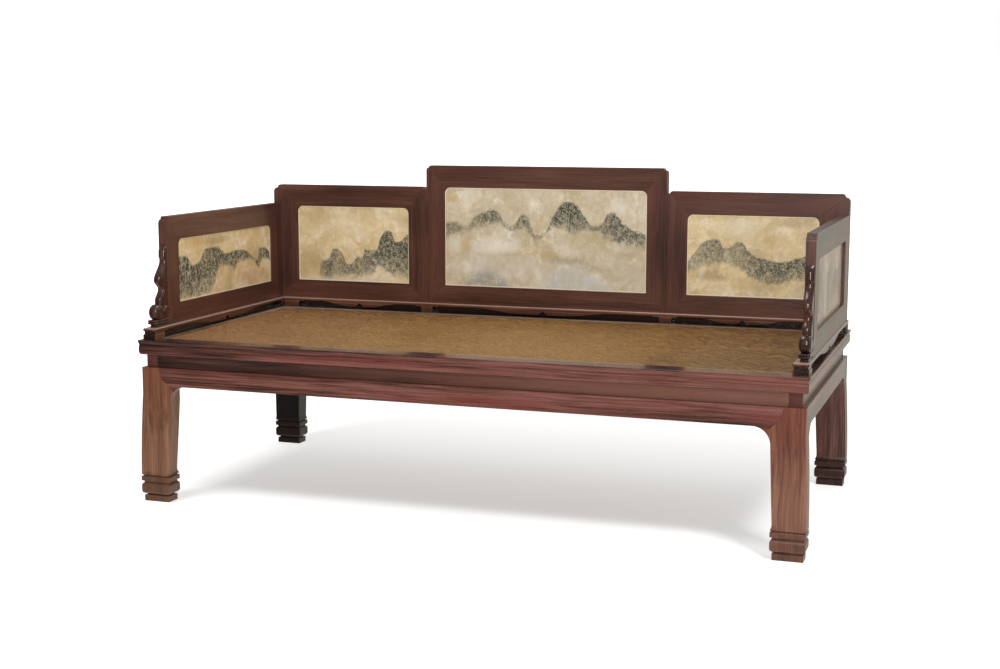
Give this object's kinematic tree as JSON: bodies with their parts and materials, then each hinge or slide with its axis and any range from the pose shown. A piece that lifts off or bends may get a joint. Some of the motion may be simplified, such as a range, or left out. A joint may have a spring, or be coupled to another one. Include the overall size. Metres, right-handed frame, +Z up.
{
  "type": "luohan daybed",
  "caption": "Low hardwood daybed with a woven cane seat in a mitred frame, waisted apron and moulded feet, and stepped marble-panelled screens on the back and both ends.",
  "frame": {"origin": "on the floor under the middle of the bed, bottom centre of the bounding box", "axes": "+X along the bed, -Y the open front where one sits, +Z up"},
  "size_m": [2, 0.938, 0.9933],
  "materials": {
    "seat_wood": "satin oiled dark red-brown hongmu, straight grain",
    "leg_wood": "satin oiled lighter red-brown hongmu",
    "screen_wood": "satin oiled dark red-brown hongmu",
    "carved_wood": "glossier dark red-brown hongmu",
    "key_wood": "plain hidden hongmu",
    "bearer_wood": "unpolished hongmu",
    "strip_wood": "thin worn hardwood strip",
    "marble": "opaque honed marble, cream ground with grey-green landscape-like bands",
    "cane_mat": "fine woven cane, aged ochre brown",
    "palm_webbing": "coarse brown palm fibre"
  },
  "bodies": {
    "centre_back_screen": {"centre_back_bottom_rail": "screen_wood", "centre_back_keys": "key_wood", "centre_back_left_stile": "screen_wood", "centre_back_marble": "marble", "centre_back_right_stile": "screen_wood", "centre_back_sill": "carved_wood", "centre_back_top_rail": "screen_wood"},
    "bed": {"front_apron": "seat_wood", "front_left_leg": "leg_wood", "front_rail": "seat_wood", "front_right_leg": "leg_wood", "front_waist": "seat_wood", "left_apron": "seat_wood", "left_back_bottom_rail": "screen_wood", "left_back_corner_stile": "screen_wood", "left_back_inner_stile": "screen_wood", "left_back_marble": "marble", "left_back_pins": "key_wood", "left_back_sill": "carved_wood", "left_back_top_rail": "screen_wood", "left_end_rail": "seat_wood", "left_waist": "seat_wood", "mat_pressing_strips": "strip_wood", "palm_webbing": "palm_webbing", "rear_apron": "seat_wood", "rear_left_leg": "leg_wood", "rear_rail": "seat_wood", "rear_right_leg": "leg_wood", "rear_waist": "seat_wood", "right_apron": "seat_wood", "right_back_bottom_rail": "screen_wood", "right_back_corner_stile": "screen_wood", "right_back_inner_stile": "screen_wood", "right_back_marble": "marble", "right_back_pins": "key_wood", "right_back_sill": "carved_wood", "right_back_top_rail": "screen_wood", "right_end_rail": "seat_wood", "right_waist": "seat_wood", "seat_bearer_1": "bearer_wood", "seat_bearer_2": "bearer_wood", "seat_bearer_3": "bearer_wood", "woven_cane_mat": "cane_mat"},
    "left_side_screen": {"left_side_bottom_rail": "screen_wood", "left_side_bracket": "carved_wood", "left_side_front_stile": "screen_wood", "left_side_keys": "key_wood", "left_side_marble": "marble", "left_side_rear_stile": "screen_wood", "left_side_sill": "carved_wood", "left_side_top_rail": "screen_wood"},
    "right_side_screen": {"right_side_bottom_rail": "screen_wood", "right_side_bracket": "carved_wood", "right_side_front_stile": "screen_wood", "right_side_keys": "key_wood", "right_side_marble": "marble", "right_side_rear_stile": "screen_wood", "right_side_sill": "carved_wood", "right_side_top_rail": "screen_wood"}
  },
  "joints": [
    {"name": "centre_back_lift", "type": "slide", "parent": "bed", "child": "centre_back_screen", "axis": [0, 0, 1], "range_m": [0, 0.032]},
    {"name": "left_side_lift", "type": "slide", "parent": "bed", "child": "left_side_screen", "axis": [0, 0, 1], "range_m": [0, 0.032]},
    {"name": "right_side_lift", "type": "slide", "parent": "bed", "child": "right_side_screen", "axis": [0, 0, 1], "range_m": [0, 0.032]}
  ]
}
